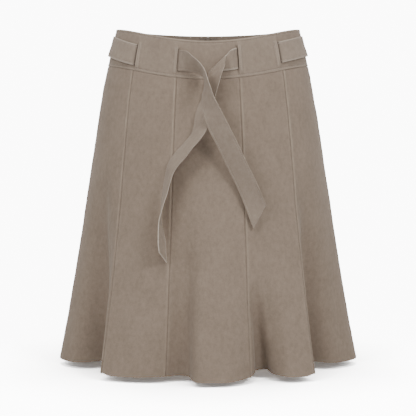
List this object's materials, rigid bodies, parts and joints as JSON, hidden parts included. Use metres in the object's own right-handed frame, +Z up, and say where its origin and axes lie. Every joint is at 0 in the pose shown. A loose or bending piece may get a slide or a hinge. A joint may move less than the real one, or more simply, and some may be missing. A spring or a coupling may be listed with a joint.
{
  "type": "a-line skirt",
  "caption": "Flared suede A-line skirt, gored from waistband to hem, with a sash woven through the waistband and crossed at the front.",
  "frame": {"origin": "middle of the waist opening, level with the waistband's top edge at the side seams", "axes": "+Z up out of the waist opening, front towards -Y, +X towards the right of someone looking at the front"},
  "size_m": [0.493, 0.406, 0.5442],
  "materials": {
    "skirt": "matt brushed suede, taupe",
    "waistband": "matt brushed suede, taupe, a shade lighter",
    "sash": "matt brushed suede, taupe, a shade lighter",
    "zip_tape": "woven tape, taupe",
    "zip_metal": "satin enamel, taupe"
  },
  "bodies": {
    "skirt": {"waistband_front": "waistband", "waistband_back_left": "waistband", "waistband_back_right": "waistband", "gore_front_centre": "skirt", "gore_front_left": "skirt", "gore_front_right": "skirt", "gore_side_left": "skirt", "gore_side_right": "skirt", "gore_side_back_left": "skirt", "gore_side_back_right": "skirt", "gore_back_left": "skirt", "gore_back_right": "skirt", "sash_round": "sash", "sash_left": "sash", "sash_right": "sash", "zip_tape_left": "zip_tape", "zip_tape_right": "zip_tape", "zip_slider": "zip_metal"},
    "pull": {"zip_pull": "zip_metal"}
  },
  "joints": [
    {"name": "zip_pull_hinge", "type": "hinge", "parent": "skirt", "child": "pull", "pos_m": [0, 0.11743, -0.0115], "axis": [1, 0, 0], "range_deg": [0, 150]}
  ]
}
